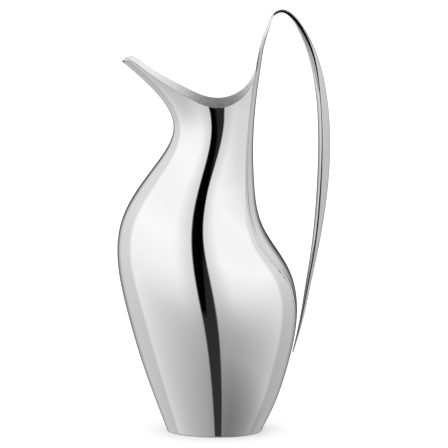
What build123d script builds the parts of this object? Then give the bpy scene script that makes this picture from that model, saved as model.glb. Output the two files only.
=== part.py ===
"""Silver water pitcher: a mirror-polished serving jug with a leaf-shaped loop handle.

Millimetres, +Z up. The origin is the middle of the foot, on the table. The spout points
to -X and the handle stands at +X; the jug is symmetric about the XZ plane.
"""
import os
from math import cos, hypot, pi, sin

from build123d import *
import numpy as np

# ---- driving dimensions -------------------------------------------------------------
WALL = 1.2            # sheet of the two body halves
SKIN = 1.0            # sheet of the two handle skins
BASE_TOP = 2.4        # joint between the base plate and the body halves
BASE_RECESS = 1.2     # how far the underside is set back inside the contact ring
CONTACT_RING = 4.0    # width of the ring that stands on the table
STEP_HEIGHT = 2.0     # locating step of the base plate inside the body
FIT_GAP = 0.3         # clearance of the locating step and of the handle's spigots
STRAP_ROOT = 312.0    # height where the body's rear tongue becomes the strap
STEP_INSET = 1.8      # locating step, in from the outside of the joint
STEP_WIDTH = 1.4      # thickness of the locating step
FOOT_EDGE = 0.8       # rounding of the bottom edge
SPIGOT_SIDE = 0.8     # side clearance of the handle's spigots
WELD_GAP = 0.25       # between a weld run and the curved wall it lies on
WELD_RISE = 0.8       # how far a weld run stands proud inside
WELD_WIDTH = 2.5      # width of the two seam welds
WELD_LOW = 6.0        # height where the seam welds begin, above the foot weld
FRONT_WELD_TOP = 298.0
REAR_WELD_TOP = 308.0
CUT_REACH = 80.0      # half length of the cutter that trims the rim
CUT_FRONT = -100.0    # how far the cutter reaches past the spout
CUT_RISE = 10.0       # and above the strap's root
FOOT_WELD_OUT = 0.05  # foot weld past the wall's inside at the joint; the wall flares clear above
SECTION_POINTS = 28   # points round each plan section of the body

# Lines of the body: (height, x) of its front and rear in the middle plane, (height, y) of its
# half width, and (height, x) of the place where it is widest
FRONT = [(0, -38), (50, -56.5), (100, -71), (145, -78.5), (178, -73),
         (215, -50), (248, -33), (275, -45), (312, -86)]
REAR = [(0, 38), (20, 48), (50, 58.5), (98, 67), (135, 59), (165, 40.5), (200, 32.5), (250, 32), (312, 39.5)]
HALF_WIDTH = [(0, 32.5), (50, 49.5), (112, 60), (150, 55), (205, 37), (250, 27), (312, 26)]
WIDEST = [(0, 3.5), (100, -3.5), (178, -12.5), (255, 1), (312, -8)]
FRONT_POWER = 2.0                       # plain ellipse round the front
REAR_POWERS = [(200.0, 2.0), (262.0, 2.6)]   # blunter round the back of the neck
BODY_SECTIONS = 22    # plan sections between the base plate and the strap

# Rim in side view, from the spout tip over the low lip to the strap
RIM = [(-80, 299), (-74, 303), (-67, 305), (-60, 301), (-25, 279), (4, 269),
       (24, 278), (34, 297), (36.5, STRAP_ROOT)]

# Handle, along the line of its two edges: x, z, half width, bulge towards the loop,
# bulge away from the loop (negative where the strap is hollowed), edge thickness
ROOT_X = 36.8                            # the edges at the root, just behind the rim's end
ROOT_BULGE = REAR[-1][1] - ROOT_X        # so that the root lies flush with the body's wall
HANDLE = [
    (ROOT_X, STRAP_ROOT, 12, ROOT_BULGE, WALL - ROOT_BULGE, WALL),
    (40, 323, 8.7, 2.2, -1, 1.8),
    (44, 333, 5.5, 1.3, -0.2, 1.7),
    (49, 342, 3, 1, 0.5, 1.7),
    (54, 344, 2.8, 1, 0.8, 1.9),
    (63, 339.5, 3.1, 2, 1.3, 2.4),
    (71, 329, 3.9, 3.3, 1.5, 2.5),
    (78, 314.5, 5.2, 4.3, 2.2, 2),
    (85, 280, 9.5, 3.6, 5, 1),
    (87, 245, 11.5, 3.2, 6.5, 1),
    (86, 205, 11.5, 3, 6.3, 1.4),
    (80, 145, 8, 2.4, 3.2, 1.5),
    (75.5, 120, 6, 1.8, 2.5, 1.4),
    (70, 91, 4, 1, 1.8, 1.2),
    (63.5, 64.5, 1.6, 0.3, 0.6, 0.7),
]
SPAN_STEPS = 2                  # sections lofted for each row of the handle
STRAP_TOP = 4 * SPAN_STEPS      # highest section, where the strap turns down
LEAF_TOP = 7 * SPAN_STEPS       # section where the solid strap ends and the hollow leaf begins
LEAF_FOOT = 12 * SPAN_STEPS     # section where the leaf ends and the solid tail begins
LEAF_LIP = 2.0        # width of the edges where the two skins meet
THIN = 0.1            # least rise of a hidden face over the edge line


# ---- curves -------------------------------------------------------------------------
def smooth(knots, values):
    """Natural cubic spline: a function that gives the value at any place."""
    gaps = np.diff(knots)
    slopes = np.diff(values) / gaps
    matrix = np.eye(len(knots))
    right = np.zeros(len(knots))
    for i in range(1, len(knots) - 1):
        matrix[i, i - 1:i + 2] = gaps[i - 1], 2 * (gaps[i - 1] + gaps[i]), gaps[i]
        right[i] = 6 * (slopes[i] - slopes[i - 1])
    bend = np.linalg.solve(matrix, right)

    def at(place):
        i = min(max(int(np.searchsorted(knots, place, side="right")) - 1, 0), len(gaps) - 1)
        b = (place - knots[i]) / gaps[i]
        a = 1 - b
        curl = ((a**3 - a) * bend[i] + (b**3 - b) * bend[i + 1]) * gaps[i]**2 / 6
        return float(a * values[i] + b * values[i + 1] + curl)

    return at


def body_levels():
    """Plan sections of the body: height, front, rear, half width, x of the widest place."""
    lines = [smooth(*np.array(line, float).T) for line in (FRONT, REAR, HALF_WIDTH, WIDEST)]
    heights = [0.0] + list(np.linspace(BASE_TOP, STRAP_ROOT, BODY_SECTIONS))
    return [(float(height), *(line(height) for line in lines)) for height in heights]


def handle_sections():
    """The rows of the handle with further sections between them."""
    rows = np.array(HANDLE, float)
    run = np.concatenate([[0], np.cumsum(np.hypot(*np.diff(rows[:, :2], axis=0).T))])
    places = []
    for start, end in zip(run, run[1:]):
        places += [start + (end - start) * step / SPAN_STEPS for step in range(SPAN_STEPS)]
    columns = [smooth(run, column) for column in rows.T]
    return [tuple(column(place) for column in columns) for place in places + [run[-1]]]


LEVELS = body_levels()
SECTIONS = handle_sections()


# ---- body ---------------------------------------------------------------------------
def rear_power(height):
    """Exponent of the rear half of a plan section at this height."""
    (low, start), (high, end) = REAR_POWERS
    share = min(max((height - low) / (high - low), 0.0), 1.0)
    share = share * share * (3 - 2 * share)
    return start + (end - start) * share


def plan_points(height, front, rear, half_width, widest):
    """Points round one plan section, from the rear and back to it."""
    points = []
    for step in range(SECTION_POINTS):
        angle = 2 * pi * step / SECTION_POINTS
        reach = rear - widest if cos(angle) > 0 else widest - front
        power = 2 / (rear_power(height) if cos(angle) > 0 else FRONT_POWER)
        along = abs(cos(angle)) ** power * (1 if cos(angle) > 0 else -1)
        across = abs(sin(angle)) ** power * (1 if sin(angle) > 0 else -1)
        points.append((widest + reach * along, half_width * across))
    return points


def set_in(level, inset):
    """A plan section made smaller by the same amount all round."""
    height, front, rear, half_width, widest = level
    return height, front + inset, rear - inset, half_width - inset, widest


def inside_levels():
    """The same sections set in by the wall, measured square to its slope."""
    levels = []
    for index, level in enumerate(LEVELS):
        below = LEVELS[max(index - 1, 0)]
        above = LEVELS[min(index + 1, len(LEVELS) - 1)]
        rise = above[0] - below[0]
        insets = [WALL * hypot(1, (above[k] - below[k]) / rise) for k in (1, 2, 3)]
        levels.append((level[0], level[1] + insets[0], level[2] - insets[1], level[3] - insets[2], level[4]))
    return levels


def wall_at(height, side):
    """x of the inside wall in the middle plane at this height; side is 1 front, 2 rear."""
    levels = inside_levels()
    for low, high in zip(levels, levels[1:]):
        if low[0] <= height <= high[0]:
            share = (height - low[0]) / (high[0] - low[0])
            return low[side] + (high[side] - low[side]) * share


def seam_lines(side, top):
    """Two lines up the inside wall, at the foot and at the crest of a seam weld."""
    away = 1 if side == 1 else -1
    heights = [WELD_LOW] + [level[0] for level in LEVELS if WELD_LOW < level[0] < top] + [top]
    near = [(wall_at(height, side) + away * WELD_GAP, height) for height in heights]
    crest = [(x + away * WELD_RISE, height) for x, height in near]
    return near, crest


# ---- handle -------------------------------------------------------------------------
def station_plane(index):
    """Plane across the handle: local x is across it, local y points away from the loop."""
    x, z = SECTIONS[index][:2]
    before = SECTIONS[max(index - 1, 0)]
    after = SECTIONS[min(index + 1, len(SECTIONS) - 1)]
    run = (0, 0, 1) if index == 0 else (after[0] - before[0], 0, after[1] - before[1])
    return Plane(origin=(x, 0, z), x_dir=(0, 1, 0), z_dir=run)


def bow(half_width, edge, middle):
    """Control points of a curve from one edge to the other that passes middle halfway."""
    pull = (middle - edge / 4) / 0.75
    return [(-half_width, edge), (-half_width / 2, pull), (half_width / 2, pull), (half_width, edge)]


def solid_bows(index):
    """Both faces of a solid handle section."""
    half_width, inner, outer, edge = SECTIONS[index][2:]
    return bow(half_width, -edge / 2, -inner), bow(half_width, edge / 2, outer)


def spigot_bows(index):
    """Both faces of a plug that fits inside the hollow leaf."""
    half_width, inner, outer, edge = SECTIONS[index][2:]
    reach = half_width - LEAF_LIP - SPIGOT_SIDE
    inward = max(inner - SKIN - FIT_GAP, THIN)
    return bow(reach, -THIN / 2, -inward), bow(reach, THIN / 2, outer - SKIN - FIT_GAP)


def skin_bows(index, side):
    """Visible face and hidden face of one leaf skin; side is -1 at the loop, 1 away from it."""
    half_width, inner, outer, edge = SECTIONS[index][2:]
    bulge = inner if side < 0 else outer
    visible = bow(half_width, side * edge / 2, side * bulge)
    hidden = bow(half_width - LEAF_LIP, 0, side * max(bulge - SKIN, THIN))
    return visible, hidden


# ---- the pieces ---------------------------------------------------------------------
with BuildPart() as vessel:
    for level in LEVELS[1:]:
        with BuildSketch(Plane.XY.offset(level[0])):
            with BuildLine():
                Spline(*plan_points(*level), periodic=True)
            make_face()
    loft()
    for level in inside_levels():
        with BuildSketch(Plane.XY.offset(level[0])):
            with BuildLine():
                Spline(*plan_points(*level), periodic=True)
            make_face()
    loft(mode=Mode.SUBTRACT)
    with BuildSketch(Plane.XZ):
        with BuildLine():
            Spline(*RIM)
            Polyline(RIM[-1], (RIM[-1][0], STRAP_ROOT + CUT_RISE), (CUT_FRONT, STRAP_ROOT + CUT_RISE),
                     (CUT_FRONT, RIM[0][1]), RIM[0])
        make_face()
    extrude(amount=CUT_REACH, both=True, mode=Mode.SUBTRACT)

with BuildPart() as body_left_shell:
    add(vessel.part)
    split(bisect_by=Plane.XZ, keep=Keep.TOP)

with BuildPart() as body_right_shell:
    add(vessel.part)
    split(bisect_by=Plane.XZ, keep=Keep.BOTTOM)

with BuildPart() as base_plate:
    for level in LEVELS[:2]:
        with BuildSketch(Plane.XY.offset(level[0])):
            with BuildLine():
                Spline(*plan_points(*level), periodic=True)
            make_face()
    loft()
    fillet(base_plate.edges().group_by(Axis.Z)[0], FOOT_EDGE)
    with BuildSketch(Plane.XY):
        with BuildLine():
            Spline(*plan_points(*set_in(LEVELS[0], CONTACT_RING)), periodic=True)
        make_face()
    extrude(amount=BASE_RECESS, mode=Mode.SUBTRACT)
    with BuildSketch(Plane.XY.offset(BASE_TOP)):
        for inset, use in ((STEP_INSET, Mode.ADD), (STEP_INSET + STEP_WIDTH, Mode.SUBTRACT)):
            with BuildLine():
                Spline(*plan_points(*set_in(LEVELS[1], inset)), periodic=True)
            make_face(mode=use)
    extrude(amount=STEP_HEIGHT)

with BuildPart() as foot_weld:
    weld_level = set_in(LEVELS[1], WALL - FOOT_WELD_OUT)
    with BuildSketch(Plane.XY.offset(BASE_TOP + STEP_HEIGHT)):
        for inset, use in ((0, Mode.ADD), (WELD_WIDTH, Mode.SUBTRACT)):
            with BuildLine():
                Spline(*plan_points(*set_in(weld_level, inset)), periodic=True)
            make_face(mode=use)
    extrude(amount=WELD_RISE)

with BuildPart() as front_seam_weld:
    near, crest = seam_lines(1, FRONT_WELD_TOP)
    with BuildSketch(Plane.XZ):
        with BuildLine():
            Spline(*near)
            Line(near[-1], crest[-1])
            Spline(*crest)
            Line(crest[0], near[0])
        make_face()
    extrude(amount=WELD_WIDTH / 2, both=True)

with BuildPart() as rear_seam_weld:
    near, crest = seam_lines(2, REAR_WELD_TOP)
    with BuildSketch(Plane.XZ):
        with BuildLine():
            Spline(*near)
            Line(near[-1], crest[-1])
            Spline(*crest)
            Line(crest[0], near[0])
        make_face()
    extrude(amount=WELD_WIDTH / 2, both=True)

with BuildPart() as handle_strap:
    for stations in (range(STRAP_TOP + 1), range(STRAP_TOP, LEAF_TOP + 1)):
        for index in stations:
            lower, upper = solid_bows(index)
            with BuildSketch(station_plane(index)):
                with BuildLine():
                    Bezier(*lower)
                    Line(lower[-1], upper[-1])
                    Bezier(*upper)
                    Line(upper[0], lower[0])
                make_face()
        loft()
    for index in (LEAF_TOP, LEAF_TOP + 1):
        lower, upper = spigot_bows(index)
        with BuildSketch(station_plane(index)):
            with BuildLine():
                Bezier(*lower)
                Line(lower[-1], upper[-1])
                Bezier(*upper)
                Line(upper[0], lower[0])
            make_face()
    loft()

with BuildPart() as handle_tail:
    for index in range(LEAF_FOOT, len(SECTIONS)):
        lower, upper = solid_bows(index)
        with BuildSketch(station_plane(index)):
            with BuildLine():
                Bezier(*lower)
                Line(lower[-1], upper[-1])
                Bezier(*upper)
                Line(upper[0], lower[0])
            make_face()
    loft()
    for index in (LEAF_FOOT - 1, LEAF_FOOT):
        lower, upper = spigot_bows(index)
        with BuildSketch(station_plane(index)):
            with BuildLine():
                Bezier(*lower)
                Line(lower[-1], upper[-1])
                Bezier(*upper)
                Line(upper[0], lower[0])
            make_face()
    loft()

with BuildPart() as handle_inner_skin:
    for index in range(LEAF_TOP, LEAF_FOOT + 1):
        visible, hidden = skin_bows(index, -1)
        with BuildSketch(station_plane(index)):
            with BuildLine():
                Bezier(*visible)
                Polyline(visible[-1], (visible[-1][0], 0), hidden[-1])
                Bezier(*hidden)
                Polyline(hidden[0], (visible[0][0], 0), visible[0])
            make_face()
    loft()

with BuildPart() as handle_outer_skin:
    for index in range(LEAF_TOP, LEAF_FOOT + 1):
        visible, hidden = skin_bows(index, 1)
        with BuildSketch(station_plane(index)):
            with BuildLine():
                Bezier(*visible)
                Polyline(visible[-1], (visible[-1][0], 0), hidden[-1])
                Bezier(*hidden)
                Polyline(hidden[0], (visible[0][0], 0), visible[0])
            make_face()
    loft()

PIECES = {
    "body_left_shell": body_left_shell,
    "body_right_shell": body_right_shell,
    "base_plate": base_plate,
    "foot_weld": foot_weld,
    "front_seam_weld": front_seam_weld,
    "rear_seam_weld": rear_seam_weld,
    "handle_strap": handle_strap,
    "handle_inner_skin": handle_inner_skin,
    "handle_outer_skin": handle_outer_skin,
    "handle_tail": handle_tail,
}
os.makedirs("parts", exist_ok=True)
for name, piece in PIECES.items():
    piece.part.label = name
    export_step(piece.part, f"parts/{name}.step")
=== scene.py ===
"""Looks of the silver water pitcher: mirror-polished steel in a plain white studio.

Metres, +Z up. The spout points to -X, the handle stands at +X, the camera looks along +Y.
"""

from math import cos, pi, radians, sin

import bpy
import numpy as np
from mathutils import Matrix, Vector


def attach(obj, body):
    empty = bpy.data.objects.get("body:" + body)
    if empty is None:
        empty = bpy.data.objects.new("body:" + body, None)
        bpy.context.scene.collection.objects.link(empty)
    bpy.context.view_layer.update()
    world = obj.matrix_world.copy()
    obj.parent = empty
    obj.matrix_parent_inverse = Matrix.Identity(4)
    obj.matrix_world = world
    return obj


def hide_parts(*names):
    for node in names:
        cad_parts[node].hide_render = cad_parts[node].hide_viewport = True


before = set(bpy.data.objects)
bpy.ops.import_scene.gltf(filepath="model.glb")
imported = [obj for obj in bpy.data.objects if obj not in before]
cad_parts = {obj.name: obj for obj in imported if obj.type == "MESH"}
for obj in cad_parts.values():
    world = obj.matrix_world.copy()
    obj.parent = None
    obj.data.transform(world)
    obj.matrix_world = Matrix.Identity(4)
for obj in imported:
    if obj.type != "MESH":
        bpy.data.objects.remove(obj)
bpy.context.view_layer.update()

MM = 0.001

# ---- the shape, in millimetres --------------------------------------------------------
WALL = 1.2
BASE_TOP = 2.4
FOOT_EDGE = 0.8
CONTACT_RING = 4.0
BASE_RECESS = 1.2
STRAP_ROOT = 312.0
FREE_RIM = 250.0      # the rim is cut above this height

# Lines of the body: (height, x) of its front and rear in the middle plane, (height, y) of its
# half width, and (height, x) of the place where it is widest
FRONT = [(0, -38), (50, -56.5), (100, -71), (145, -78.5), (178, -73),
         (215, -50), (248, -33), (275, -45), (312, -86)]
REAR = [(0, 38), (20, 48), (50, 58.5), (98, 67), (135, 59), (165, 40.5), (200, 32.5), (250, 32), (312, 39.5)]
HALF_WIDTH = [(0, 32.5), (50, 49.5), (112, 60), (150, 55), (205, 37), (250, 27), (312, 26)]
WIDEST = [(0, 3.5), (100, -3.5), (178, -12.5), (255, 1), (312, -8)]
REAR_POWERS = ((200.0, 2.0), (262.0, 2.6))

# Rim in side view, from the spout tip over the low lip to the strap
RIM = np.array([(-80, 299), (-74, 303), (-67, 305), (-60, 301), (-25, 279), (4, 269),
                (24, 278), (34, 297), (36.5, STRAP_ROOT)])

# Handle: x, z, half width, bulge to the loop, bulge away from it, edge thickness
ROOT_X = 36.8                            # the edges at the root, just behind the rim's end
ROOT_BULGE = REAR[-1][1] - ROOT_X        # so that the root lies flush with the body's wall
HANDLE = np.array([
    (ROOT_X, STRAP_ROOT, 12, ROOT_BULGE, WALL - ROOT_BULGE, 2),
    (40, 323, 8.7, 2.2, -1, 1.8),
    (44, 333, 5.5, 1.3, -0.2, 1.7),
    (49, 342, 3, 1, 0.5, 1.7),
    (54, 344, 2.8, 1, 0.8, 1.9),
    (63, 339.5, 3.1, 2, 1.3, 2.4),
    (71, 329, 3.9, 3.3, 1.5, 2.5),
    (78, 314.5, 5.2, 4.3, 2.2, 2),
    (85, 280, 9.5, 3.6, 5, 1),
    (87, 245, 11.5, 3.2, 6.5, 1),
    (86, 205, 11.5, 3, 6.3, 1.4),
    (80, 145, 8, 2.4, 3.2, 1.5),
    (75.5, 120, 6, 1.8, 2.5, 1.4),
    (70, 91, 4, 1, 1.8, 1.2),
    (63.5, 64.5, 1.6, 0.3, 0.6, 0.7),
])
ROOT, ARCH, LEAF_TOP, LEAF_FOOT = 0, 4, 7, 12      # rows where strap, arch, leaf and tail begin
ROOT_LEAN = radians(82)      # at the root the edge lies almost across the handle
ROOT_BACK = 0.3              # and a little away from the loop
ROOT_POWER = 2.67            # flatness of the hollowed root
ROUND_POWER = 2.0            # of the arch
KEEL_POWER = 1.5             # of the leaf's outside


# ---- curves ---------------------------------------------------------------------------
def spline(knots, values):
    """Natural cubic spline through the values; works on several columns at once."""
    knots = np.asarray(knots, float)
    values = np.asarray(values, float)
    gaps = np.diff(knots)
    count = len(knots)
    matrix = np.eye(count)
    right = np.zeros_like(values)
    for i in range(1, count - 1):
        matrix[i, i - 1:i + 2] = gaps[i - 1], 2 * (gaps[i - 1] + gaps[i]), gaps[i]
        right[i] = 6 * ((values[i + 1] - values[i]) / gaps[i]
                        - (values[i] - values[i - 1]) / gaps[i - 1])
    bend = np.linalg.solve(matrix, right)

    def at(where):
        where = np.asarray(where, float)
        i = np.clip(np.searchsorted(knots, where, side="right") - 1, 0, count - 2)
        shape = where.shape + (1,) * (values.ndim - 1)
        gap = gaps[i].reshape(shape)
        b = (where - knots[i]).reshape(shape) / gap
        a = 1 - b
        curl = ((a**3 - a) * bend[i] + (b**3 - b) * bend[i + 1]) * gap**2 / 6
        return a * values[i] + b * values[i + 1] + curl

    return at


def chords(points):
    """Distance along a row of points."""
    return np.concatenate([[0], np.cumsum(np.hypot(*np.diff(points, axis=0).T))])


body_lines = [spline(*np.array(line, float).T) for line in (FRONT, REAR, HALF_WIDTH, WIDEST)]


def level_at(height):
    """Front, rear, half width and widest place of the body at a height."""
    return np.stack([line(height) for line in body_lines], axis=-1)


rim_run = chords(RIM)
rim_line = spline(rim_run, RIM)(np.linspace(0, rim_run[-1], 3000))
handle_run = chords(HANDLE[:, :2])
handle_at = spline(handle_run, HANDLE)


# ---- body surface ---------------------------------------------------------------------
def body(angle, height):
    """Point of the outside wall; angle 0 is the rear, pi the front."""
    front, rear, half, widest = np.moveaxis(level_at(height), -1, 0)
    (low, first), (high, last) = REAR_POWERS
    share = np.clip((height - low) / (high - low), 0, 1)
    share = share * share * (3 - 2 * share)
    power = np.where(np.cos(angle) > 0, first + (last - first) * share, 2.0)
    spread = (np.abs(np.cos(angle))**power + np.abs(np.sin(angle))**power)**(-1 / power)
    reach = np.where(np.cos(angle) > 0, rear - widest, widest - front)
    x = widest + reach * spread * np.cos(angle)
    return np.stack([x, half * spread * np.sin(angle), height + 0 * angle], axis=-1)


def unit(vectors):
    return vectors / np.maximum(np.linalg.norm(vectors, axis=-1, keepdims=True), 1e-12)


def body_normal(angle, height):
    turn = body(angle + 1e-4, height) - body(angle - 1e-4, height)
    rise = body(angle, height + 0.02) - body(angle, height - 0.02)
    return unit(np.cross(turn, rise))


def rim_height(angle):
    """Height where the rim cuts this meridian, or the strap root."""
    low = np.full_like(angle, FREE_RIM)
    high = np.full_like(angle, STRAP_ROOT)
    for _ in range(40):
        middle = (low + high) / 2
        x = body(angle, middle)[..., 0]
        cut = np.where(x < RIM[-1, 0], np.interp(x, rim_line[:, 0], rim_line[:, 1]), 1e3)
        over = middle > cut
        high = np.where(over, middle, high)
        low = np.where(over, low, middle)
    return (low + high) / 2


# ---- mesh building --------------------------------------------------------------------
class Piece:
    """Grids of points with their own normals, welded into one mesh."""

    def __init__(self, name):
        self.name = name
        self.points = []
        self.faces = []
        self.normals = []
        self.skins = []
        self.count = 0

    def grid(self, points, normals=None, flip=False, skin=0):
        rows, columns = points.shape[:2]
        if normals is None:
            down = np.gradient(points, axis=0)
            along = np.gradient(points, axis=1)
            normals = unit(np.cross(along, down))
            if flip:
                normals = -normals
        index = np.arange(rows * columns).reshape(rows, columns) + self.count
        corners = (index[:-1, :-1], index[:-1, 1:], index[1:, 1:], index[1:, :-1])
        quads = np.stack(corners, axis=-1).reshape(-1, 4)
        if flip:
            quads = quads[:, ::-1]
        self.points.append(points.reshape(-1, 3))
        self.normals.append(normals.reshape(-1, 3))
        self.faces.append(quads)
        self.skins.append(np.full(len(quads), skin))
        self.count += rows * columns

    def strip(self, points, facing):
        """A closing face between two rows of points, turned the way it has to face."""
        along = points[0, 1:] - points[0, :-1]
        across = points[1, :-1] - points[0, :-1]
        self.grid(points, flip=np.dot(np.cross(along, across).sum(axis=0), facing) < 0)

    def build(self, materials, stands_for):
        points = np.concatenate(self.points)
        normals = np.concatenate(self.normals)
        faces = np.concatenate(self.faces)
        skins = np.concatenate(self.skins)
        _, first, welded = np.unique(
            np.round(points, 5), axis=0, return_index=True, return_inverse=True)
        welded = welded.reshape(-1)
        verts = points[first] * MM
        polygons = []
        corner_normals = []
        polygon_skins = []
        for quad, skin in zip(faces, skins):
            corners = []
            for corner in quad:
                if welded[corner] not in [welded[c] for c in corners]:
                    corners.append(corner)
            if len(corners) > 2:
                polygons.append([int(welded[c]) for c in corners])
                corner_normals.extend(normals[c] for c in corners)
                polygon_skins.append(int(skin))
        mesh = bpy.data.meshes.new(self.name)
        mesh.from_pydata([tuple(v) for v in verts], [], polygons)
        mesh.shade_smooth()
        mesh.normals_split_custom_set([tuple(n) for n in corner_normals])
        mesh.update()
        thing = bpy.data.objects.new(self.name, mesh)
        bpy.context.collection.objects.link(thing)
        for material in materials:
            mesh.materials.append(material)
        mesh.polygons.foreach_set("material_index", polygon_skins)
        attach(thing, "root")
        if stands_for:
            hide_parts(stands_for)
        return thing


# ---- materials ------------------------------------------------------------------------
def node(tree, kind, inputs=(), **settings):
    made = tree.nodes.new(kind)
    for key, value in settings.items():
        setattr(made, key, value)
    for key, value in dict(inputs).items():
        socket = made.inputs[key]
        if isinstance(value, bpy.types.NodeSocket):
            tree.links.new(value, socket)
        else:
            socket.default_value = value
    return made


def calc(tree, operation, *values, clamp=False):
    return node(tree, "ShaderNodeMath", enumerate(values), operation=operation, use_clamp=clamp).outputs[0]


def remap(tree, value, low, high, out_low, out_high, smooth=True):
    made = node(tree, "ShaderNodeMapRange", {0: value, 1: low, 2: high, 3: out_low, 4: out_high})
    made.interpolation_type = "SMOOTHSTEP" if smooth else "LINEAR"
    return made.outputs[0]


POLISH_FADE = 0.025   # height over which a brushed inside turns into a polished top
POLISH_SHARE = 0.08   # roughness that is left of it there
PATCH_SCALE = 22.0    # of the cloudy wear
BUMP_DEPTH = 0.0004   # height of the waviness at full strength


def metal(name, tint, rough_low, rough_high, grain, grain_scale, bump, polished_above=None):
    """A metal with fine wear in its roughness and a very fine waviness, or polished at the top."""
    material = bpy.data.materials.new(name)
    material.use_nodes = True
    tree = material.node_tree
    tree.nodes.clear()
    where = node(tree, "ShaderNodeTexCoord").outputs["Object"]
    stretched = node(tree, "ShaderNodeMapping", {"Vector": where, "Scale": grain}).outputs[0]
    marks = node(tree, "ShaderNodeTexNoise", {
        "Vector": stretched, "Scale": grain_scale, "Detail": 6.0}).outputs[0]
    patches = node(tree, "ShaderNodeTexNoise", {
        "Vector": where, "Scale": PATCH_SCALE, "Detail": 3.0}).outputs[0]
    worn = calc(tree, "MULTIPLY", marks, patches)
    rough = remap(tree, worn, 0.12, 0.42, rough_low, rough_high)
    if polished_above is not None:
        height = node(tree, "ShaderNodeSeparateXYZ", {0: where}).outputs[2]
        dull = remap(tree, height, polished_above, polished_above + POLISH_FADE, 1.0, POLISH_SHARE)
        rough = calc(tree, "MULTIPLY", rough, dull)
    shade = remap(tree, patches, 0.3, 0.7, 0.985, 1.0)
    tinted = node(tree, "ShaderNodeMix", {
        "Factor": shade, 6: (0, 0, 0, 1), 7: tint}, data_type="RGBA").outputs[2]
    uneven = node(tree, "ShaderNodeBump", {
        "Strength": bump, "Distance": BUMP_DEPTH, "Height": marks}).outputs[0]
    surface = node(tree, "ShaderNodeBsdfPrincipled", {
        "Base Color": tinted, "Metallic": 1.0, "Roughness": rough, "Normal": uneven})
    node(tree, "ShaderNodeOutputMaterial", {"Surface": surface.outputs[0]})
    return material


POLISHED = metal("polished steel", (0.94, 0.94, 0.945, 1), 0.015, 0.05, (1, 1, 1), 160.0, 0.004)
INSIDE = metal("brushed steel inside", (0.93, 0.93, 0.935, 1), 0.50, 0.58, (1, 1, 0.12), 240.0, 0.003,
               polished_above=0.280)
SATIN = metal("satin steel", (0.80, 0.80, 0.81, 1), 0.26, 0.40, (1, 1, 1), 420.0, 0.10)
WELD = metal("weld metal", (0.62, 0.61, 0.60, 1), 0.30, 0.50, (0.3, 0.3, 1), 700.0, 0.8)


# ---- edges of the sheet ---------------------------------------------------------------
CORNER = 0.15         # rounding of the sheet's edges
QUARTER = np.linspace(0, pi / 2, 5)
FLAT = np.linspace(1, -1, 5)[1:-1]


def edge_outline(half_edge, corner):
    """A flat edge with two rounded corners: offset across the sheet, and out of it."""
    flat = half_edge - corner
    back = QUARTER[::-1]
    across = np.concatenate([
        flat + corner * np.cos(QUARTER), flat * FLAT, -flat - corner * np.cos(back)], axis=-1)
    out = np.concatenate([
        corner * np.sin(QUARTER), corner * np.ones_like(FLAT), corner * np.sin(back)], axis=-1)
    return across, out


EDGE_STEPS = 2 * len(QUARTER) + len(FLAT)


# ---- body pieces ----------------------------------------------------------------------
low_edge, high_edge = 0.0, pi / 2
for _ in range(50):
    root_edge = (low_edge + high_edge) / 2
    if body(np.array(root_edge), np.array(STRAP_ROOT))[0] > RIM[-1, 0]:
        low_edge = root_edge
    else:
        high_edge = root_edge

ANGLES = np.concatenate([
    np.linspace(0, root_edge, 16), np.linspace(root_edge, radians(60), 46)[1:],
    np.linspace(radians(60), pi, 90)[1:]])
TONGUE = 15           # number of steps of ANGLES that lie under the strap
LOW_HEIGHTS = np.linspace(BASE_TOP, FREE_RIM, 120)
HIGH_SHARE = np.linspace(0, 1, 37)[1:]
BLEND_HEIGHT = 12     # height over which the inside turns to meet the cut rim

tops = rim_height(ANGLES)
tops[:TONGUE + 1] = STRAP_ROOT
edge_points = body(ANGLES, tops)
edge_normals = body_normal(ANGLES, tops)
edge_run = unit(np.gradient(edge_points, axis=0))
skin_up = unit(np.cross(edge_run, edge_normals))
skin_up[skin_up[:, 2] < 0] *= -1
rim_normal = unit(np.stack([-edge_run[:, 2], 0 * edge_run[:, 0], edge_run[:, 0]], axis=-1))
rim_normal[rim_normal[:, 2] < 0] *= -1
rim_across = unit(np.cross(rim_normal, edge_run))
rim_across[np.sum(rim_across * edge_normals, axis=-1) > 0] *= -1
rim_width = WALL / np.clip(np.abs(np.sum(rim_across * edge_normals, axis=-1)), 0.5, 1)
rim_across = rim_across * rim_width[:, None]
rim_across[:TONGUE] = -WALL * edge_normals[:TONGUE]
skin_up[:TONGUE] = 0

# heights of every row; the last row is drawn back from the cut by the rounding of the edge
heights = np.concatenate([
    np.repeat(LOW_HEIGHTS[:, None], len(ANGLES), axis=1),
    FREE_RIM + HIGH_SHARE[:, None] * (tops[None, :] - FREE_RIM)])
angles = np.repeat(ANGLES[None, :], len(heights), axis=0)
outside = body(angles, heights)
outside_normals = body_normal(angles, heights)
blend = np.clip(1 - (tops[None, :] - heights) / BLEND_HEIGHT, 0, 1)[..., None]**2
outside = outside - blend * CORNER * skin_up[None]
inside = outside - (1 - blend) * WALL * outside_normals + blend * rim_across[None]


def mirrored(points):
    return points * np.array([1, -1, 1])


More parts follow.
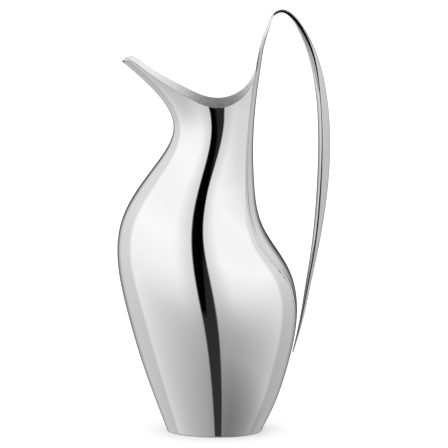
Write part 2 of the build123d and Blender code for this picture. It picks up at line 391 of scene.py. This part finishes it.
quarter = QUARTER[:, None, None]
up = CORNER * skin_up[None] * np.sin(quarter)
inward = unit(rim_across)[None] * CORNER
step_in = outside[-1][None] + up
step_out = (outside[-1] + rim_across)[None] + up
top_edge = outside[-1] + CORNER * skin_up
flat = (1 - FLAT[:, None, None]) / 2
flat_top = top_edge[None] + inward + (rim_across[None] - 2 * inward) * flat
rim_rows = np.concatenate([step_in + inward * (1 - np.cos(quarter)), flat_top,
                           (step_out - inward * (1 - np.cos(quarter)))[::-1]])
turn_in = unit(np.cos(quarter) * outside_normals[-1][None] + np.sin(quarter) * rim_normal[None])
turn_out = unit(-np.cos(quarter) * outside_normals[-1][None] + np.sin(quarter) * rim_normal[None])
rim_normals = np.concatenate([turn_in, np.repeat(rim_normal[None], len(FLAT), axis=0), turn_out[::-1]])
rim_arc, rim_arc_normals = rim_rows[:, TONGUE:], rim_normals[:, TONGUE:]

for name, side in (("body_left_shell", -1), ("body_right_shell", 1)):
    piece = Piece(name + "_look")
    turn = mirrored if side < 0 else (lambda points: points)
    swap = side < 0
    piece.grid(turn(outside), turn(outside_normals), flip=swap)
    piece.grid(turn(inside), turn(-outside_normals), flip=not swap, skin=1)
    piece.grid(turn(rim_arc), turn(rim_arc_normals), flip=swap)
    # closing faces: bottom joint, tongue top, and the two seam faces
    to_other_half = np.array([0, -side, 0])
    for outer, inner, facing in (
            (outside[0], inside[0], np.array([0, 0, -1])),
            (outside[-1, :TONGUE + 1], inside[-1, :TONGUE + 1], np.array([0, 0, 1])),
            (outside[:, 0], inside[:, 0], to_other_half),
            (outside[:, -1], inside[:, -1], to_other_half)):
        piece.strip(turn(np.stack([outer, inner])), facing)
    piece.build((POLISHED, INSIDE), name)

# ---- base plate -----------------------------------------------------------------------
RING_EDGE = 0.4       # rounding of the contact ring's inner edge
RING_ROOT = 0.3       # bevel between the ring and the recess
RECESS_REACH = 27.9   # how far in the recess goes from there
TOP_REACH = 32.2      # how far in the top face goes from the foot's outline
TOP_GAP = 0.2         # how far in from that outline it starts

ring_angles = np.linspace(0, 2 * pi, 241)
foot_line = body(ring_angles, np.full_like(ring_angles, FOOT_EDGE))
foot_flat = body(ring_angles, np.zeros_like(ring_angles))


def inset_ring(inset, height):
    level = level_at(np.array(0.0))
    ring = foot_flat.copy()
    middle = (level[0] + level[1]) / 2
    ring[:, 0] = middle + (ring[:, 0] - middle) * (1 - inset / ((level[1] - level[0]) / 2))
    ring[:, 1] *= 1 - inset / level[2]
    ring[:, 2] = height
    return ring


plate = Piece("base_plate_look")
side_levels = [np.full_like(ring_angles, z) for z in np.linspace(BASE_TOP, FOOT_EDGE, 5)]
side_rows = [body(ring_angles, level) for level in side_levels]
side_normals = [body_normal(ring_angles, level) for level in side_levels]
plate.grid(np.stack(side_rows), np.stack(side_normals), flip=True)
corner = []
corner_normals = []
down = np.array([0, 0, -1.0])
for bend in np.linspace(0, pi / 2, 7):
    drawn_in = side_normals[-1] * FOOT_EDGE * (1 - cos(bend))
    corner.append(foot_line - drawn_in + down * FOOT_EDGE * sin(bend))
    corner_normals.append(unit(side_normals[-1] * cos(bend) + down * sin(bend)))
plate.grid(np.stack(corner), np.stack(corner_normals), flip=True, skin=1)
plate.grid(np.stack([corner[-1], inset_ring(CONTACT_RING - RING_EDGE, 0)]), flip=True, skin=1)
plate.grid(np.stack([
    inset_ring(CONTACT_RING - RING_EDGE, 0),
    inset_ring(CONTACT_RING - RING_EDGE / 4, 0.3 * RING_EDGE),
    inset_ring(CONTACT_RING, RING_EDGE),
    inset_ring(CONTACT_RING, BASE_RECESS - RING_ROOT),
    inset_ring(CONTACT_RING + RING_ROOT, BASE_RECESS)]), flip=True, skin=1)
plate.grid(np.stack([
    inset_ring(CONTACT_RING + RING_ROOT + share * RECESS_REACH, BASE_RECESS)
    for share in np.linspace(0, 1, 8)]), flip=True, skin=1)
plate.grid(np.stack([
    inset_ring(inset, BASE_TOP) for inset in np.linspace(TOP_GAP, TOP_REACH, 9)]), skin=1)
plate.build((POLISHED, SATIN), "base_plate")


# ---- handle ---------------------------------------------------------------------------
FACE = np.linspace(-1, 1, 33)


def handle_rings(start, end, count):
    """Both faces and both edges of the handle, section by section."""
    run = np.linspace(handle_run[start], handle_run[end], count)
    x, z, half, loop, away, edge = handle_at(run).T
    rooted = np.clip(1 - run / handle_run[ARCH], 0, 1)
    lean = ROOT_LEAN * rooted
    back = ROOT_BACK * rooted**2
    power = ROUND_POWER + (ROOT_POWER - ROUND_POWER) * rooted
    keel_from, keel_to = handle_run[ARCH + 1], handle_run[LEAF_TOP + 1]
    keeled = np.clip((run - keel_from) / (keel_to - keel_from), 0, 1)
    away_power = power - (ROUND_POWER - KEEL_POWER) * keeled * keeled * (3 - 2 * keeled)
    step = handle_at(run + 0.01)[:, :2] - handle_at(run - 0.01)[:, :2]
    first_step = handle_run[ROOT + 1] - handle_run[ROOT]
    share = np.clip((run - handle_run[ROOT]) / first_step, 0, 1)[:, None]
    share = share * share * (3 - 2 * share)
    along = unit(unit(step) * share + np.array([0, 1.0]) * (1 - share))
    to_loop = np.stack([along[:, 1], -along[:, 0]], axis=-1)
    corner = np.minimum(CORNER, edge / 2)
    middle = half - corner

    def place(across, depth):
        """across and depth are (sections, points); depth grows towards the loop."""
        ones = np.ones_like(across)
        px = x[:, None] * ones + depth * to_loop[:, 0:1]
        pz = z[:, None] * ones + depth * to_loop[:, 1:2]
        return np.stack([px, across, pz], axis=-1)

    tip_y = edge / 2 * np.sin(lean)
    tip_d = edge / 2 * np.cos(lean)
    loop_curve = np.abs(FACE)[None]**power[:, None]
    away_curve = np.abs(FACE)[None]**away_power[:, None]
    loop_face = place(FACE[None] * (middle + tip_y)[:, None],
                      loop[:, None] + ((tip_d - back) - loop)[:, None] * loop_curve)
    away_face = place(-FACE[None] * (middle - tip_y)[:, None],
                      -away[:, None] + ((-tip_d - back) + away)[:, None] * away_curve)
    across_edge, out_of_edge = edge_outline(edge[:, None] / 2, corner[:, None])
    across = middle[:, None] + across_edge * np.sin(lean)[:, None] + out_of_edge * np.cos(lean)[:, None]
    depth = -back[:, None] + across_edge * np.cos(lean)[:, None] - out_of_edge * np.sin(lean)[:, None]
    right_edge = place(across, depth)
    left_edge = place(-across[:, ::-1], depth[:, ::-1])
    return loop_face, right_edge, away_face, left_edge


def whole_section(name, start, end, count, stands_for):
    piece = Piece(name)
    rings = handle_rings(start, end, count)
    for ring in rings:
        piece.grid(ring)
    for row in (0, -1):
        loop_face, right_edge, away_face, left_edge = (ring[row] for ring in rings)
        cap = np.stack([loop_face, away_face[::-1]])
        piece.grid(cap, flip=row == 0)
        for rounding in (right_edge, left_edge):
            centre = np.repeat(((rounding[0] + rounding[-1]) / 2)[None], len(rounding), axis=0)
            piece.grid(np.stack([rounding, centre]), flip=row == 0)
    return piece.build((POLISHED,), stands_for)


whole_section("handle_strap_look", ROOT, LEAF_TOP, 200, "handle_strap")
whole_section("handle_tail_look", LEAF_FOOT, len(HANDLE) - 1, 90, "handle_tail")
rings = handle_rings(LEAF_TOP, LEAF_FOOT, 260)
half_way = EDGE_STEPS // 2 + 1
for name, face, edges in (
        ("handle_inner_skin", rings[0], (rings[1][:, :half_way], rings[3][:, half_way - 1:])),
        ("handle_outer_skin", rings[2], (rings[1][:, half_way - 1:], rings[3][:, :half_way]))):
    piece = Piece(name + "_look")
    piece.grid(face)
    for edge in edges:
        piece.grid(edge)
    piece.build((POLISHED,), name)

for name in ("foot_weld", "front_seam_weld", "rear_seam_weld"):
    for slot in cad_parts[name].material_slots:
        slot.material = WELD


# ---- studio ---------------------------------------------------------------------------
DOME_STRENGTH = 1.06
WORLD_STRENGTH = 1.45


def sphere_dome(radius, centre):
    mesh = bpy.data.meshes.new("studio_dome")
    turns, rises = 64, 32
    verts = []
    for rise in range(rises + 1):
        tilt = pi * rise / rises - pi / 2
        for turn_step in range(turns):
            spin = 2 * pi * turn_step / turns
            ring = radius * cos(tilt)
            verts.append((ring * cos(spin), ring * sin(spin), radius * sin(tilt)))
    faces = []
    for rise in range(rises):
        for turn_step in range(turns):
            following = (turn_step + 1) % turns
            faces.append((rise * turns + turn_step, rise * turns + following,
                          (rise + 1) * turns + following, (rise + 1) * turns + turn_step))
    mesh.from_pydata(verts, [], faces)
    thing = bpy.data.objects.new("studio_dome", mesh)
    thing.location = centre
    bpy.context.collection.objects.link(thing)
    return thing


def blended(tree, factor, start, end):
    return node(tree, "ShaderNodeMix", {"Factor": factor, 2: start, 3: end}, data_type="FLOAT").outputs[0]


def dome_material():
    material = bpy.data.materials.new("studio dome")
    material.use_nodes = True
    tree = material.node_tree
    tree.nodes.clear()
    where = node(tree, "ShaderNodeTexCoord").outputs["Object"]
    aim = node(tree, "ShaderNodeVectorMath", {0: where}, operation="NORMALIZE").outputs[0]
    parts = node(tree, "ShaderNodeSeparateXYZ", {0: aim})
    x, y, z = parts.outputs[0], parts.outputs[1], parts.outputs[2]
    turn = calc(tree, "DEGREES", calc(tree, "ARCTAN2", x, calc(tree, "MULTIPLY", y, -1.0)))
    rise = calc(tree, "DEGREES", calc(tree, "ARCSINE", z))
    around = calc(tree, "ABSOLUTE", turn)

    def ramp(value, low, high, stops):
        share = remap(tree, value, low, high, 0.0, 1.0, smooth=False)
        made = node(tree, "ShaderNodeValToRGB", {0: share})
        made.color_ramp.interpolation = "LINEAR"
        elements = made.color_ramp.elements
        elements[0].position = (stops[0][0] - low) / (high - low)
        elements[1].position = (stops[-1][0] - low) / (high - low)
        for place, level in stops[1:-1]:
            elements.new((place - low) / (high - low))
        for element, (place, level) in zip(elements, stops):
            element.position = (place - low) / (high - low)
            element.color = (level, level, level, 1)
        return calc(tree, "ADD", made.outputs[0], 0.0)

    left = ramp(rise, -90, 90, [(-90, .58), (-50, .78), (-10, .93), (25, .98), (90, .82)])
    right = ramp(rise, -90, 90, [(-90, .45), (-60, .42), (-35, .75), (20, .97), (90, .82)])
    side = remap(tree, turn, -25.0, 35.0, 0.0, 1.0)
    front = blended(tree, side, left, right)
    # the light falls off towards the gap for the camera and beyond the two front panels
    gap_high = remap(tree, around, 6.0, 34.0, 0.87, 1.0)
    gap_low = remap(tree, around, 6.0, 100.0, 0.77, 1.0, smooth=False)
    near_gap = blended(tree, remap(tree, rise, -30.0, 8.0, 0.0, 1.0), gap_low, gap_high)
    beyond = remap(tree, around, 98.0, 107.0, 1.0, 0.88)
    soft = calc(tree, "MULTIPLY", calc(tree, "MULTIPLY", front, near_gap), beyond)
    # dark gap round the camera, with the table edge showing low on its right
    gap = remap(tree, around, 7.0, 9.5, 0.0, 1.0)
    split = calc(tree, "ADD", turn, calc(tree, "MULTIPLY", rise, -0.18))
    table_part = remap(tree, split, -1.0, 1.5, 0.0, 1.0)
    low_level = ramp(rise, -90, 90, [(-90, .30), (-50, .20), (15, .16), (25, .06), (90, .06)])
    high_level = ramp(rise, -90, 90, [(-90, .30), (-50, .20), (-18, .18), (-12, .03), (90, .03)])
    gap_level = blended(tree, table_part, high_level, low_level)
    with_gap = blended(tree, gap, gap_level, soft)
    # dark room behind, low over the table, and the darker far half of the table
    back_side = remap(tree, around, 135.0, 172.0, 0.0, 1.0)
    over_table = remap(tree, rise, -36.0, -10.0, 0.0, 1.0)
    under_ceiling = remap(tree, rise, 4.0, 26.0, 1.0, 0.0)
    room = calc(tree, "MULTIPLY", back_side, calc(tree, "MULTIPLY", over_table, under_ceiling))
    room_level = ramp(rise, -90, 90, [(-90, .50), (-20, .45), (0, .15), (90, .15)])
    linear = calc(tree, "POWER", blended(tree, room, with_gap, room_level), 2.2)
    strength = calc(tree, "MULTIPLY", linear, DOME_STRENGTH)
    light = node(tree, "ShaderNodeEmission", {"Color": (1, 1, 1, 1), "Strength": strength})
    node(tree, "ShaderNodeOutputMaterial", {"Surface": light.outputs[0]})
    material.cycles.emission_sampling = "NONE"
    return material


dome = sphere_dome(12.0, (0, 0, 0.16))
dome.data.materials.append(dome_material())
dome.visible_camera = False
dome.visible_diffuse = False
dome.visible_shadow = False
dome.visible_transmission = False

floor_mesh = bpy.data.meshes.new("studio_floor")
reach = 40.0
floor_corners = [(-reach, -reach, 0), (reach, -reach, 0), (reach, reach, 0), (-reach, reach, 0)]
floor_mesh.from_pydata(floor_corners, [], [(0, 1, 2, 3)])
floor = bpy.data.objects.new("studio_floor", floor_mesh)
bpy.context.collection.objects.link(floor)
paper = bpy.data.materials.new("white paper")
paper.use_nodes = True
tree = paper.node_tree
tree.nodes.clear()
where = node(tree, "ShaderNodeTexCoord").outputs["Object"]
fibres = node(tree, "ShaderNodeTexNoise", {"Vector": where, "Scale": 900.0, "Detail": 3.0}).outputs[0]
grey = remap(tree, fibres, 0.3, 0.7, 0.895, 0.905)
paper_colour = node(tree, "ShaderNodeCombineColor", {0: grey, 1: grey, 2: grey}).outputs[0]
paper_surface = node(tree, "ShaderNodeBsdfPrincipled", {
    "Base Color": paper_colour, "Roughness": 0.9, "Specular IOR Level": 0.0})
node(tree, "ShaderNodeOutputMaterial", {"Surface": paper_surface.outputs[0]})
floor_mesh.materials.append(paper)
floor.visible_glossy = False

scene = bpy.context.scene
world = bpy.data.worlds.new("studio world")
scene.world = world
world.use_nodes = True
world.node_tree.nodes["Background"].inputs[0].default_value = (1, 1, 1, 1)
world.node_tree.nodes["Background"].inputs[1].default_value = WORLD_STRENGTH

scene.view_settings.view_transform = "Standard"
scene.view_settings.look = "None"

# ---- camera ---------------------------------------------------------------------------
DISTANCE = 10.0
RISE = radians(10)
WIDTH = 0.3623        # width of the view at the pitcher
SENSOR = 36.0
aim = Vector((0.0078, 0, 0.1696))
camera_data = bpy.data.cameras.new("camera")
camera_data.sensor_width = SENSOR
camera_data.lens = SENSOR * DISTANCE / WIDTH
camera_data.clip_end = 80.0
camera_data.clip_start = 1.0
camera = bpy.data.objects.new("camera", camera_data)
camera.location = aim + DISTANCE * Vector((0, -cos(RISE), sin(RISE)))
camera.rotation_euler = (pi / 2 - RISE, 0, 0)
bpy.context.collection.objects.link(camera)
scene.camera = camera
